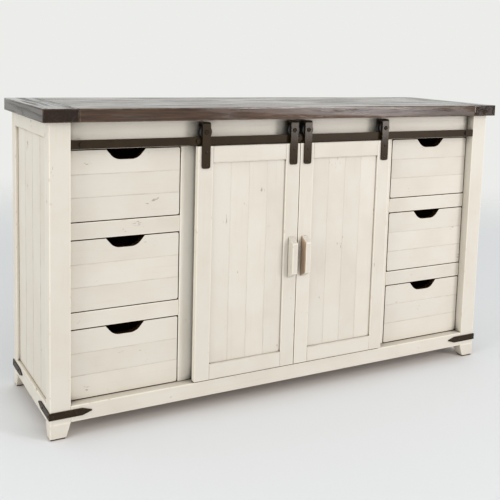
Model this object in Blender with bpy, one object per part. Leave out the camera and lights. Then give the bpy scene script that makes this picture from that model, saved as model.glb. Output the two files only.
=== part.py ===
"""Painted sideboard buffet: three drawers on each side of a pair of sliding doors.

Metres, +Z up, the front faces -Y. The origin is on the floor, under the middle of the
whole object's box, whose front is the door handles and whose back is the top's edge.
Boards stand FIT apart where they touch, so that no two solids share a face.
"""
import bpy
import bmesh
from math import cos, pi, radians, sin, tan
from mathutils import Vector

# ---- Driving sizes ---------------------------------------------------------------------
FIT = 0.0003                  # gap between pieces that touch

HEIGHT = 0.881                # floor to the upper face of the top
TOP_LENGTH = 1.524
TOP_DEPTH = 0.4545
TOP_THICK = 0.035
TOP_END = 0.093               # width of the breadboard at each end of the top
OVERHANG_SIDE = 0.020         # the top past the posts
OVERHANG_FRONT = 0.020
OVERHANG_BACK = 0.0095

POST_WIDTH = 0.056            # along X
POST_DEPTH = 0.042            # along Y
FOOT_WIDTH = 0.043            # the post where it meets the floor
FOOT_DEPTH = 0.030
FOOT_HEIGHT = 0.043           # floor to the underside of the bottom rails

BOTTOM_RAIL = 0.045           # heights of the rails
FRONT_TOP_RAIL = 0.075
SIDE_TOP_RAIL = 0.045
RAIL_THICK = 0.022            # side rails
SIDE_PANEL_SETBACK = 0.009    # panel face behind the posts' outer face
SIDE_PANEL_THICK = 0.012

FACE_SETBACK = 0.029          # drawer faces behind the posts' front face
FACE_THICK = 0.020            # drawer fronts, drawer rails, stiles and the front top rail
STILE = 0.050                 # upright between the drawers and the door opening
DOOR_OPENING = 0.636          # clear width between the two stiles
DRAWER_RAIL = 0.0455          # height of the rail between two drawers
LOWER_OPENING = 0.1985        # height of the middle and bottom drawer openings
BOARD = 0.018                 # partitions, floor and shelf
DUST_BOARD = 0.010            # board that a drawer slides on
BACK_THICK = 0.006
LINING = 0.012                # board that keeps the drawers off the side panel
SHELF_HEIGHT = 0.432          # underside of the shelf above the floor
SHELF_SETBACK = 0.030         # shelf's front edge behind the stiles

DRAWER_GAP = 0.003            # round a drawer front
DRAWER_SLIP = 0.001           # under a drawer box
BOX_SIDE_GAP = 0.002          # a drawer box's side in from the ends of its front
BOX_WALL = 0.012
BOX_BOTTOM = 0.006
BOX_BOTTOM_RISE = 0.010       # underside of the bottom above the sides' lower edge
BOX_HEIGHT = 0.150
BOX_LENGTH = 0.350
PULL_WIDTH = 0.110            # hand hole in a drawer front's upper edge
PULL_DEPTH = 0.027
PULL_SLOPE = radians(50)      # of its two ends, above level
PULL_CORNER = 0.036           # radius between an end and its floor
PULL_CORNER_STEPS = 5

DOOR_THICK = 0.018
DOOR_PROUD = 0.007            # door face in front of the posts' front face
DOOR_LAP = 0.014              # door over the stile at each side
DOOR_MEET_GAP = 0.002
DOOR_UNDER_TRACK = 0.003
DOOR_OVER_RAIL = 0.0045
DOOR_BOARD = 0.0465           # width of the door's stiles and rails
GUIDE_GAP = 0.0015            # door to the strip that guides its lower edge
GUIDE_THICK = 0.0065
GUIDE_HEIGHT = 0.012
GUIDE_INSET = 0.005           # strip's ends in from the doors' outer edges
DOOR_PANEL_SETBACK = 0.006
DOOR_PANEL_THICK = 0.008

HANDLE_WIDTH = 0.018
HANDLE_HEIGHT = 0.126         # against the door
HANDLE_FACE = 0.092           # at its front
HANDLE_OUT = 0.028
HANDLE_INSET = 0.013          # from the door's meeting edge
HANDLE_MIDDLE = 0.430         # above the floor

TRACK_DROP = 0.0475           # underside of the top to the track's upper edge
TRACK_HEIGHT = 0.023
TRACK_THICK = 0.005
TRACK_BOLT_RADIUS = 0.007
TRACK_BOLT_HEAD = 0.0035
TRACK_BOLTS = 5
TRACK_BOLT_PITCH = 0.3285

WHEEL_TREAD = 0.0135          # radii
WHEEL_FLANGE = 0.0185
WHEEL_HUB = 0.008
WHEEL_WIDTH = 0.016
WHEEL_HUB_PROUD = 0.001
WHEEL_TRACK_GAP = 0.0006      # each side of the track in the wheel's groove
AXLE_RADIUS = 0.004
AXLE_CLEARANCE = 0.0003
AXLE_HEAD_RADIUS = 0.0065
AXLE_HEAD = 0.0035

STRAP_WIDTH = 0.025
STRAP_THICK = 0.004
STRAP_TAIL = 0.062            # below the door's upper edge
STRAP_BACK_TAIL = 0.010       # back leg below the axle
STRAP_WHEEL_GAP = 0.0035      # wheel to the strap's back leg
STRAP_CROWN_GAP = 0.0045      # strap above the wheel
STRAP_CORNER = 0.006

BRACKET_LEG = 0.113
BRACKET_POINT = 0.026         # length of the pointed end
BRACKET_WIDTH = 0.0195
BRACKET_THICK = 0.003
BRACKET_TIP = 0.002           # blunt width of the point
BRACKET_MIDDLE = 0.068        # above the floor

ROUND_STEPS = 32
EDGE = 0.0012                 # softened edge of a board
EDGE_TOP = 0.0025             # softened edge of the top

# ---- Places worked out from the sizes --------------------------------------------------
LEFT, RIGHT = -1, 1
SIDE_NAMES = {LEFT: "left", RIGHT: "right"}

CASE_DEPTH = TOP_DEPTH - OVERHANG_FRONT - OVERHANG_BACK
FRONT_REACH = max(HANDLE_OUT + DOOR_PROUD, OVERHANG_FRONT)
TOTAL_DEPTH = FRONT_REACH + CASE_DEPTH + OVERHANG_BACK
POST_FRONT = -TOTAL_DEPTH / 2 + FRONT_REACH
POST_BACK = POST_FRONT + CASE_DEPTH
POST_OUTER = TOP_LENGTH / 2 - OVERHANG_SIDE
POST_INNER = POST_OUTER - POST_WIDTH

TOP_UNDER = HEIGHT - TOP_THICK
FLOOR_TOP = FOOT_HEIGHT + BOTTOM_RAIL
FACE_TOP = TOP_UNDER - FRONT_TOP_RAIL
FACE_FRONT = POST_FRONT + FACE_SETBACK
FACE_BACK = FACE_FRONT + FACE_THICK
BACK_FRONT = POST_BACK - BACK_THICK

STILE_INNER = DOOR_OPENING / 2
STILE_OUTER = STILE_INNER + STILE
PARTITION_INNER = STILE_OUTER - BOARD

TRACK_TOP = TOP_UNDER - TRACK_DROP
TRACK_UNDER = TRACK_TOP - TRACK_HEIGHT
TRACK_MIDDLE_Y = POST_FRONT + TRACK_THICK / 2

DOOR_FRONT = POST_FRONT - DOOR_PROUD
DOOR_BACK = DOOR_FRONT + DOOR_THICK
DOOR_OUTER = STILE_INNER + DOOR_LAP
DOOR_INNER = DOOR_MEET_GAP / 2
DOOR_TOP = TRACK_UNDER - DOOR_UNDER_TRACK
DOOR_UNDER = FLOOR_TOP + DOOR_OVER_RAIL

AXLE_Z = TRACK_TOP + WHEEL_TREAD + FIT
# The strap's faces that look at the wheel, from the wheel's middle.
STRAP_FRONT_LEG = DOOR_FRONT - FIT - TRACK_MIDDLE_Y
STRAP_BACK_LEG = WHEEL_WIDTH / 2 + STRAP_WHEEL_GAP

OPENING_HEIGHT = FACE_TOP - FLOOR_TOP
TOP_OPENING = OPENING_HEIGHT - 2 * (LOWER_OPENING + DRAWER_RAIL)
MIDDLE_FLOOR = FLOOR_TOP + LOWER_OPENING + DRAWER_RAIL
UPPER_FLOOR = MIDDLE_FLOOR + LOWER_OPENING + DRAWER_RAIL
# Each drawer's row: the floor it slides on, and the height of its opening.
DRAWER_ROWS = {
    "top": (UPPER_FLOOR, TOP_OPENING),
    "middle": (MIDDLE_FLOOR, LOWER_OPENING),
    "bottom": (FLOOR_TOP, LOWER_OPENING),
}


# ---- Materials -------------------------------------------------------------------------
def material(name, colour, roughness, metallic=0.0):
    """A plain Principled material."""
    made = bpy.data.materials.new(name)
    made.use_nodes = True
    shader = made.node_tree.nodes["Principled BSDF"]
    shader.inputs["Base Color"].default_value = (*colour, 1.0)
    shader.inputs["Roughness"].default_value = roughness
    shader.inputs["Metallic"].default_value = metallic
    return made


# ---- Shapes ----------------------------------------------------------------------------
def add_object(name, mesh, finish, bevel=0.0):
    """Puts a mesh in the scene under its node's name, with its finish and softened edges."""
    piece = bpy.data.objects.new(name, mesh)
    bpy.context.scene.collection.objects.link(piece)
    if finish:
        mesh.materials.append(finish)
    if bevel:
        soften = piece.modifiers.new("soft edges", "BEVEL")
        soften.width = bevel
        soften.segments = 1
        soften.limit_method = "ANGLE"
    return piece


def span(a, b):
    """Two numbers in rising order, so that a mirrored piece needs no other code."""
    return (a, b) if a < b else (b, a)


def block_mesh(name, xs, ys, zs):
    """A box between two X, two Y and two Z values."""
    shape = bmesh.new()
    bmesh.ops.create_cube(shape, size=1.0)
    for vert in shape.verts:
        for axis, (low, high) in enumerate((span(*xs), span(*ys), span(*zs))):
            vert.co[axis] = high if vert.co[axis] > 0 else low
    return finished(shape, name)


def finished(shape, name):
    """Turns a bmesh into a mesh with its faces pointing out."""
    bmesh.ops.recalc_face_normals(shape, faces=shape.faces[:])
    mesh = bpy.data.meshes.new(name)
    shape.to_mesh(mesh)
    shape.free()
    return mesh


def board(name, finish, xs, ys, zs, bevel=EDGE):
    return add_object(name, block_mesh(name, xs, ys, zs), finish, bevel)


def prism_mesh(name, outline, push):
    """A flat outline of 3-D points, pushed along a vector into a solid."""
    shape = bmesh.new()
    face = shape.faces.new([shape.verts.new(point) for point in outline])
    pushed = bmesh.ops.extrude_face_region(shape, geom=[face])["geom"]
    moved = [item for item in pushed if isinstance(item, bmesh.types.BMVert)]
    bmesh.ops.translate(shape, verts=moved, vec=Vector(push))
    return finished(shape, name)


def turned_mesh(name, profile, steps=ROUND_STEPS):
    """A closed profile of (radius, y) points turned about Y: a ring, or a rod if it
    starts and ends at radius 0."""
    shape = bmesh.new()
    rings = []
    for radius, y in profile:
        if radius == 0:
            rings.append([shape.verts.new((0, y, 0))])
            continue
        turns = [2 * pi * step / steps for step in range(steps)]
        rings.append([shape.verts.new((radius * cos(a), y, radius * sin(a))) for a in turns])
    pairs = list(zip(rings, rings[1:]))
    if profile[0][0] != 0:
        pairs.append((rings[-1], rings[0]))
    for one, other in pairs:
        for step in range(steps):
            after = (step + 1) % steps
            corners = [one[step % len(one)], one[after % len(one)]]
            corners += [other[after % len(other)], other[step % len(other)]]
            shape.faces.new(dict.fromkeys(corners))
    mesh = finished(shape, name)
    mesh.shade_smooth()
    mesh.set_sharp_from_angle(angle=0.6)
    return mesh


def rod_mesh(name, radius, y_front, y_back):
    return turned_mesh(name, [(0, y_front), (radius, y_front), (radius, y_back), (0, y_back)])


def combine(piece, mesh, operation, place=(0, 0, 0)):
    """Joins a mesh to a piece, or cuts it away, at a place in the piece's own space."""
    tool = add_object(piece.name + "_tool", mesh, None)
    tool.parent = piece
    tool.location = place
    tool.hide_render = True
    tool.display_type = "WIRE"
    step = piece.modifiers.new(operation.lower(), "BOOLEAN")
    step.operation = operation
    step.object = tool


# ---- Top -------------------------------------------------------------------------------
def make_top(finish, end_finish):
    """A long panel with a breadboard across each end."""
    ys = (POST_FRONT - OVERHANG_FRONT, POST_BACK + OVERHANG_BACK)
    zs = (TOP_UNDER, HEIGHT)
    joint = TOP_LENGTH / 2 - TOP_END
    board("top_panel", finish, (-joint + FIT, joint - FIT), ys, zs, EDGE_TOP)
    for side, word in SIDE_NAMES.items():
        xs = (side * joint, side * TOP_LENGTH / 2)
        board("top_end_" + word, end_finish, xs, ys, zs, EDGE_TOP)


# ---- Case ------------------------------------------------------------------------------
def make_post(name, finish, side, front):
    """A corner post. Below the rails its two inner faces slope in to a smaller foot."""
    outer = side * POST_OUTER
    edge, inward = (POST_FRONT, 1) if front else (POST_BACK, -1)
    sections = (
        (0.0, FOOT_WIDTH, FOOT_DEPTH),
        (FOOT_HEIGHT, POST_WIDTH, POST_DEPTH),
        (TOP_UNDER - FIT, POST_WIDTH, POST_DEPTH),
    )
    shape = bmesh.new()
    rings = []
    for z, wide, deep in sections:
        xs = (outer, outer - side * wide)
        ys = (edge, edge + inward * deep)
        corners = ((xs[0], ys[0]), (xs[1], ys[0]), (xs[1], ys[1]), (xs[0], ys[1]))
        rings.append([shape.verts.new((x, y, z)) for x, y in corners])
    shape.faces.new(rings[0])
    shape.faces.new(rings[-1])
    for low, high in zip(rings, rings[1:]):
        for corner in range(4):
            after = (corner + 1) % 4
            shape.faces.new((low[corner], low[after], high[after], high[corner]))
    add_object(name, finished(shape, name), finish, EDGE)


def make_side(finish, side):
    """One end of the case: a panel between two posts, with a rail above and below it."""
    word = SIDE_NAMES[side]
    ys = (POST_FRONT + POST_DEPTH + FIT, POST_BACK - POST_DEPTH - FIT)
    rail = (side * POST_OUTER, side * (POST_OUTER - RAIL_THICK))
    top_rail_under = TOP_UNDER - SIDE_TOP_RAIL
    board("side_top_rail_" + word, finish, rail, ys, (top_rail_under, TOP_UNDER - FIT))
    board("side_bottom_rail_" + word, finish, rail, ys, (FOOT_HEIGHT, FLOOR_TOP))
    panel = POST_OUTER - SIDE_PANEL_SETBACK
    xs = (side * panel, side * (panel - SIDE_PANEL_THICK))
    board("side_panel_" + word, finish, xs, ys, (FLOOR_TOP + FIT, top_rail_under - FIT), 0)


def make_front_frame(finish):
    """The rails across the front, and the stile at each side of the doors."""
    width = (-POST_INNER + FIT, POST_INNER - FIT)
    board("front_top_rail", finish, width, (FACE_FRONT, FACE_BACK), (FACE_TOP, TOP_UNDER - FIT))
    board("front_bottom_rail", finish, width, (POST_FRONT, FACE_BACK), (FOOT_HEIGHT, FLOOR_TOP))
    for side, word in SIDE_NAMES.items():
        xs = (side * STILE_INNER, side * STILE_OUTER)
        zs = (FLOOR_TOP + FIT, FACE_TOP - FIT)
        board("divider_stile_" + word, finish, xs, (FACE_FRONT, FACE_BACK), zs)


def make_drawer_divider(name, finish, side, floor):
    """A rail between two drawers with the board that the upper one slides on behind it."""
    xs = (side * (STILE_OUTER + FIT), side * (POST_INNER - FIT))
    back = BACK_FRONT - FIT
    outline = (
        (FACE_FRONT, floor - DRAWER_RAIL),
        (FACE_BACK, floor - DRAWER_RAIL),
        (FACE_BACK, floor - DUST_BOARD),
        (back, floor - DUST_BOARD),
        (back, floor),
        (FACE_FRONT, floor),
    )
    points = [(xs[0], y, z) for y, z in outline]
    add_object(name, prism_mesh(name, points, (xs[1] - xs[0], 0, 0)), finish)


def make_inside(finish, back_finish):
    """The boards inside: floor, two partitions, shelf, side linings and back."""
    ys = (FACE_BACK + FIT, BACK_FRONT - FIT)
    width = POST_INNER - FIT
    board("floor_panel", finish, (-width, width), ys, (FLOOR_TOP - BOARD, FLOOR_TOP), 0)
    for side, word in SIDE_NAMES.items():
        xs = (side * PARTITION_INNER, side * STILE_OUTER)
        board("partition_" + word, finish, xs, ys, (FLOOR_TOP + FIT, TOP_UNDER - FIT), 0)
    shelf = PARTITION_INNER - FIT
    shelf_ys = (FACE_BACK + SHELF_SETBACK, ys[1])
    board("center_shelf", finish, (-shelf, shelf), shelf_ys, (SHELF_HEIGHT, SHELF_HEIGHT + BOARD), 0)
    lining_ys = (POST_FRONT + POST_DEPTH + FIT, POST_BACK - POST_DEPTH - FIT)
    for side, word in SIDE_NAMES.items():
        xs = (side * POST_INNER, side * (POST_INNER + LINING))
        board("side_lining_" + word, finish, xs, lining_ys, (FLOOR_TOP, TOP_UNDER - FIT), 0)
    back_ys = (BACK_FRONT, POST_BACK)
    board("back_panel", back_finish, (-width, width), back_ys, (FOOT_HEIGHT, TOP_UNDER - FIT), 0)


# ---- Drawers ---------------------------------------------------------------------------
def pull_outline(middle, top):
    """The hand hole's edge, left to right: two straight slopes rounded into a flat floor."""
    floor = top - PULL_DEPTH
    corner = PULL_WIDTH / 2 - PULL_DEPTH / tan(PULL_SLOPE)
    arc_start = corner - PULL_CORNER * tan(PULL_SLOPE / 2)
    right = []
    for step in range(PULL_CORNER_STEPS + 1):
        turn = PULL_SLOPE * step / PULL_CORNER_STEPS
        x = middle + arc_start + PULL_CORNER * sin(turn)
        right.append((x, floor + PULL_CORNER * (1 - cos(turn))))
    right.append((middle + PULL_WIDTH / 2, top))
    left = [(2 * middle - x, z) for x, z in reversed(right)]
    return left + right


def make_drawer(front_finish, box_finish, side, row):
    """A drawer: a front with a hand hole in its upper edge, and an open box behind it."""
    word = SIDE_NAMES[side] + "_" + row
    floor, opening = DRAWER_ROWS[row]
    low, high = span(side * (STILE_OUTER + DRAWER_GAP), side * (POST_INNER - DRAWER_GAP))
    under, top = floor + DRAWER_GAP, floor + opening - DRAWER_GAP
    edge = [(low, under), (low, top)] + pull_outline((low + high) / 2, top) + [(high, top), (high, under)]
    points = [(x, FACE_FRONT, z) for x, z in edge]
    name = "drawer_front_" + word
    add_object(name, prism_mesh(name, points, (0, FACE_THICK, 0)), front_finish)

    name = "drawer_box_" + word
    xs = (low + BOX_SIDE_GAP, high - BOX_SIDE_GAP)
    ys = (FACE_BACK + FIT, FACE_BACK + FIT + BOX_LENGTH)
    zs = (floor + DRAWER_SLIP, floor + DRAWER_SLIP + BOX_HEIGHT)
    box = board(name, box_finish, xs, ys, zs, 0)
    inner_xs = (xs[0] + BOX_WALL, xs[1] - BOX_WALL)
    inner_ys = (ys[0] - BOX_WALL, ys[1] - BOX_WALL)
    bottom = zs[0] + BOX_BOTTOM_RISE
    above = (bottom + BOX_BOTTOM, zs[1] + BOX_WALL)
    below = (zs[0] - BOX_WALL, bottom)
    for hollow in (above, below):
        combine(box, block_mesh(name + "_hollow", inner_xs, inner_ys, hollow), "DIFFERENCE")


# ---- Doors -----------------------------------------------------------------------------
def make_door(finish, side):
    """One sliding door: a frame of four boards round a thinner panel."""
    word = SIDE_NAMES[side]
    xs = (side * DOOR_INNER, side * DOOR_OUTER)
    low, high = span(*xs)
    frame = board("door_frame_" + word, finish, xs, (DOOR_FRONT, DOOR_BACK), (DOOR_UNDER, DOOR_TOP))
    hole_xs = (low + DOOR_BOARD, high - DOOR_BOARD)
    hole_zs = (DOOR_UNDER + DOOR_BOARD, DOOR_TOP - DOOR_BOARD)
    through = (DOOR_FRONT - DOOR_THICK, DOOR_BACK + DOOR_THICK)
    combine(frame, block_mesh("door_hole_" + word, hole_xs, through, hole_zs), "DIFFERENCE")

    panel_xs = (hole_xs[0] + FIT, hole_xs[1] - FIT)
    panel_front = DOOR_FRONT + DOOR_PANEL_SETBACK
    panel_ys = (panel_front, panel_front + DOOR_PANEL_THICK)
    panel_zs = (hole_zs[0] + FIT, hole_zs[1] - FIT)
    board("door_panel_" + word, finish, panel_xs, panel_ys, panel_zs, 0)


def make_door_guide(finish):
    """A strip on the bottom rail, behind the doors. Each door still overlaps its end of
    the strip when it stands open."""
    half = DOOR_OUTER - GUIDE_INSET
    ys = (DOOR_BACK + GUIDE_GAP, DOOR_BACK + GUIDE_GAP + GUIDE_THICK)
    zs = (FLOOR_TOP + FIT, FLOOR_TOP + GUIDE_HEIGHT)
    board("door_guide", finish, (-half, half), ys, zs, 0)


def make_handle(finish, side):
    """An upright block on the door, whose ends slope back from its front to the door."""
    name = "door_handle_" + SIDE_NAMES[side]
    back = DOOR_FRONT - FIT
    front = DOOR_FRONT - HANDLE_OUT
    tall, short = HANDLE_HEIGHT / 2, HANDLE_FACE / 2
    outline = ((back, -tall), (front, -short), (front, short), (back, tall))
    x = side * (DOOR_INNER + HANDLE_INSET)
    points = [(x, y, HANDLE_MIDDLE + z) for y, z in outline]
    mesh = prism_mesh(name, points, (side * HANDLE_WIDTH, 0, 0))
    add_object(name, mesh, finish, EDGE)


# ---- Track, hangers and wheels ---------------------------------------------------------
def make_track(finish):
    """A flat bar from post to post, bolted through spacers to the front top rail."""
    xs = (-POST_INNER + FIT, POST_INNER - FIT)
    ys = (POST_FRONT, POST_FRONT + TRACK_THICK)
    bar = board("track_bar", finish, xs, ys, (TRACK_UNDER, TRACK_TOP), 0)
    head = POST_FRONT - TRACK_BOLT_HEAD
    for number in range(TRACK_BOLTS):
        x = (number - (TRACK_BOLTS - 1) / 2) * TRACK_BOLT_PITCH
        bolt = rod_mesh("track_bolt", TRACK_BOLT_RADIUS, head, FACE_FRONT - FIT)
        combine(bar, bolt, "UNION", (x, 0, TRACK_UNDER + TRACK_HEIGHT / 2))


def hanger_places(side):
    """Where a door's two hangers stand: over the middle of its two upright boards."""
    return {
        "inner": side * (DOOR_INNER + DOOR_BOARD / 2),
        "outer": side * (DOOR_OUTER - DOOR_BOARD / 2),
    }


def make_hanger(name, finish, x):
    """A strap bent over the wheel like a hook, long in front and short behind, with the
    wheel's axle across it. Its origin is on the axle's axis."""
    crown = WHEEL_FLANGE + STRAP_CROWN_GAP
    foot = DOOR_TOP - STRAP_TAIL - AXLE_Z
    front, back = STRAP_FRONT_LEG, STRAP_BACK_LEG
    outline = (
        (front - STRAP_THICK, foot),
        (front - STRAP_THICK, crown + STRAP_THICK),
        (back + STRAP_THICK, crown + STRAP_THICK),
        (back + STRAP_THICK, -STRAP_BACK_TAIL),
        (back, -STRAP_BACK_TAIL),
        (back, crown),
        (front, crown),
        (front, foot),
    )
    points = [(-STRAP_WIDTH / 2, y, z) for y, z in outline]
    mesh = prism_mesh(name, points, (STRAP_WIDTH, 0, 0))
    round_strap(mesh, foot, -STRAP_BACK_TAIL)
    strap = add_object(name, mesh, finish)
    strap.location = (x, TRACK_MIDDLE_Y, AXLE_Z)
    head = (front - STRAP_THICK - AXLE_HEAD, front - STRAP_THICK / 2)
    combine(strap, rod_mesh("axle", AXLE_RADIUS, head[1], back + STRAP_THICK / 2), "UNION")
    combine(strap, rod_mesh("axle_head", AXLE_HEAD_RADIUS, *head), "UNION")


def round_strap(mesh, *ends):
    """Rounds the corners of a strap's ends, and its two bends a little."""
    shape = bmesh.new()
    shape.from_mesh(mesh)
    corners = []
    for edge in shape.edges:
        one, other = (vert.co for vert in edge.verts)
        along_y = abs(one.x - other.x) < FIT and abs(one.z - other.z) < FIT
        if along_y and any(abs(one.z - end) < FIT for end in ends):
            corners.append(edge)
    bmesh.ops.bevel(shape, geom=corners, offset=STRAP_CORNER, segments=4, profile=0.5, affect="EDGES")
    top = max(vert.co.z for vert in shape.verts)
    bends = [edge for edge in shape.edges if all(abs(v.co.z - top) < FIT for v in edge.verts)]
    bends = [edge for edge in bends if abs(edge.verts[0].co.y - edge.verts[1].co.y) < FIT]
    bmesh.ops.bevel(shape, geom=bends, offset=STRAP_THICK, segments=3, profile=0.5, affect="EDGES")
    bmesh.ops.recalc_face_normals(shape, faces=shape.faces[:])
    shape.to_mesh(mesh)
    shape.free()


def make_wheel(name, finish, x):
    """A grooved wheel that rolls on the track's upper edge, its origin on its axis."""
    bore = AXLE_RADIUS + AXLE_CLEARANCE
    half = WHEEL_WIDTH / 2
    groove = TRACK_THICK / 2 + WHEEL_TRACK_GAP
    hub = half + WHEEL_HUB_PROUD
    profile = (
        (bore, -hub),
        (WHEEL_HUB, -hub),
        (WHEEL_HUB, -half),
        (WHEEL_FLANGE, -half),
        (WHEEL_FLANGE, -groove),
        (WHEEL_TREAD, -groove),
        (WHEEL_TREAD, groove),
        (WHEEL_FLANGE, groove),
        (WHEEL_FLANGE, half),
        (WHEEL_HUB, half),
        (WHEEL_HUB, hub),
        (bore, hub),
    )
    wheel = add_object(name, turned_mesh(name, profile), finish)
    wheel.location = (x, TRACK_MIDDLE_Y, AXLE_Z)


# ---- Corner brackets -------------------------------------------------------------------
def make_bracket(name, finish, side, front):
    """A flat metal strap bent round the corner of the case, pointed at both ends."""
    facing = -1 if front else 1
    edge = POST_FRONT if front else POST_BACK
    corner = Vector((side * POST_OUTER, edge, BRACKET_MIDDLE))
    out_x, out_y = Vector((side, 0, 0)), Vector((0, facing, 0))
    half, tip = BRACKET_WIDTH / 2, BRACKET_TIP / 2
    shoulder = BRACKET_LEG - BRACKET_POINT
    stations = (
        (corner - out_x * BRACKET_LEG, out_y, tip),
        (corner - out_x * shoulder, out_y, half),
        (corner, out_x + out_y, half),
        (corner - out_y * shoulder, out_x, half),
        (corner - out_y * BRACKET_LEG, out_x, tip),
    )
    shape = bmesh.new()
    rings = []
    for place, outward, height in stations:
        near = place + outward * FIT
        far = place + outward * (FIT + BRACKET_THICK)
        up = Vector((0, 0, height))
        rings.append([shape.verts.new(point) for point in (near - up, far - up, far + up, near + up)])
    shape.faces.new(rings[0])
    shape.faces.new(rings[-1])
    for one, other in zip(rings, rings[1:]):
        for number in range(4):
            after = (number + 1) % 4
            shape.faces.new((one[number], one[after], other[after], other[number]))
    add_object(name, finished(shape, name), finish)


def main():
    for old in list(bpy.data.objects):
        bpy.data.objects.remove(old, do_unlink=True)

    paint = material("antique_white_paint", (0.76, 0.72, 0.64), 0.55)
    stain = material("dark_stained_wood", (0.13, 0.10, 0.085), 0.40)
    end_stain = material("dark_stained_end_wood", (0.07, 0.055, 0.05), 0.45)
    bare = material("bare_wood", (0.58, 0.42, 0.26), 0.65)
    metal = material("bronzed_steel", (0.06, 0.05, 0.04), 0.45, 1.0)
    wheel_finish = material("black_nylon", (0.02, 0.02, 0.02), 0.50)

    make_top(stain, end_stain)
    for side, word in SIDE_NAMES.items():
        for front, place in ((True, "front_"), (False, "back_")):
            make_post("post_" + place + word, paint, side, front)
            make_bracket("corner_bracket_" + place + word, metal, side, front)
        make_side(paint, side)
    make_front_frame(paint)
    make_inside(bare, bare)
    for side, word in SIDE_NAMES.items():
        make_drawer_divider("drawer_divider_" + word + "_upper", paint, side, UPPER_FLOOR)
        make_drawer_divider("drawer_divider_" + word + "_lower", paint, side, MIDDLE_FLOOR)
        for row in DRAWER_ROWS:
            make_drawer(paint, bare, side, row)
        make_door(paint, side)
        make_handle(paint, side)
        for place, x in hanger_places(side).items():
            make_hanger("hanger_" + word + "_" + place, metal, x)
            make_wheel("wheel_" + word + "_" + place, wheel_finish, x)
    make_door_guide(metal)
    make_track(metal)


main()
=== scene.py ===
# %% [markdown]
# # A painted sideboard with sliding doors
# The real piece is a farmhouse sideboard: a pale painted case of solid wood, a dark stained
# top with a board across each end, three drawers on each side, and two doors in the middle
# that hang from strap hangers on a flat steel track. The frame that this script loads
# already holds every part at its right size and place. What is left is the look: softened
# edges, plank seams, screws, and the finish of each material. Each board is made again as
# its own mesh, because a board's edges and the direction of its grain are what make wood
# look like wood.

import random
from math import cos, pi, radians, sin, tan

import bmesh
import bpy
from mathutils import Matrix, Vector


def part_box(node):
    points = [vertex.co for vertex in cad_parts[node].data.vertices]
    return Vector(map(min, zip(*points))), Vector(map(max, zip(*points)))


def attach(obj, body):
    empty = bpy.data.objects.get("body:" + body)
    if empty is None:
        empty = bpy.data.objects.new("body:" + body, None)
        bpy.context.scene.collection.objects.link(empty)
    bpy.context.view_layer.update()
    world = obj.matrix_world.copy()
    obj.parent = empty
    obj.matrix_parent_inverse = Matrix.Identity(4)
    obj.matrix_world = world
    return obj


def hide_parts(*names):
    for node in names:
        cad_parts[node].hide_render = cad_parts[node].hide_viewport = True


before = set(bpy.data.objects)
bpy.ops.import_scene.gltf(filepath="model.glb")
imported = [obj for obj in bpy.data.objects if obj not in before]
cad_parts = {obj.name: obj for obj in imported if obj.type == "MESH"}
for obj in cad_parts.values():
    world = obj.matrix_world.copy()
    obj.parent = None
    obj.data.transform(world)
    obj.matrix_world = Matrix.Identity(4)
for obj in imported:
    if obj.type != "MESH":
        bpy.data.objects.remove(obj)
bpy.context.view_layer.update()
MM = 0.001

# %% [markdown]
# ## The view
# The camera stands at the left front, a little above the top, and looks slightly down
# through a shifted lens. A matrix made of three turns says where it looks: round the
# object, down, and a small tilt of the head.

# %% Camera
CAMERA_PLACE = (-1.2625, -2.2323, 1.0344)
CAMERA_TURNS = (-29.37, 7.11, 1.67)      # degrees round, down, and of tilt
LENS_MM = 58.39
LENS_SHIFT = (-0.0288, -0.1918)

scene = bpy.context.scene
lens = bpy.data.cameras.new("camera")
lens.sensor_width = 36.0
lens.lens = LENS_MM
lens.shift_x, lens.shift_y = LENS_SHIFT
camera = bpy.data.objects.new("camera", lens)
scene.collection.objects.link(camera)
round_by, down_by, tilt_by = (radians(degrees) for degrees in CAMERA_TURNS)
turn = Matrix.Rotation(round_by, 4, "Z")
turn @= Matrix.Rotation(pi / 2 - down_by, 4, "X")
turn @= Matrix.Rotation(tilt_by, 4, "Z")
camera.matrix_world = Matrix.Translation(CAMERA_PLACE) @ turn
scene.camera = camera
print("lens", lens.lens, "mm at", tuple(round(v, 3) for v in camera.location))


# %% [markdown]
# ## Light and floor
# A studio for white furniture is bright on all sides, so that the paint keeps its colour in
# the shade. The world gives that even light, and the wall that the camera sees is a shade
# lighter, so the world has one background for the camera and one for everything else. The
# key lamp at the right front lights the fronts and the front edge of the top. A small strip
# above it and a weak lamp in front each lighten the fronts a little, and the lamp at the
# left lights that end of the case. The floor is a matt disc that fades out, so that no
# horizon shows. Seen from behind, the key's reflection burns out a part of the top.

# %% Colours from hex
def colour(hex_value):
    """An sRGB hex value as the linear RGBA that shaders take."""
    parts = [int(hex_value[i:i + 2], 16) / 255 for i in (0, 2, 4)]
    linear = [c / 12.92 if c <= 0.04045 else ((c + 0.055) / 1.055) ** 2.4 for c in parts]
    return (*linear, 1.0)


print("paper white is", [round(c, 3) for c in colour("F2F2F0")])


# %% A node with its settings and links
def add(tree, kind, inputs=None, **settings):
    """Adds a node. An input may be a number, a colour, or another node's output."""
    node = tree.nodes.new(kind)
    for name, value in settings.items():
        setattr(node, name, value)
    for key, value in (inputs or {}).items():
        if isinstance(value, bpy.types.NodeSocket):
            tree.links.new(value, node.inputs[key])
        else:
            node.inputs[key].default_value = value
    return node


def new_material(name):
    """An empty node tree with a Principled shader joined to its output."""
    made = bpy.data.materials.new(name)
    made.use_nodes = True
    tree = made.node_tree
    return made, tree, tree.nodes["Principled BSDF"]


# %% World and lamps
SKY_STRENGTH = 0.95

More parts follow.
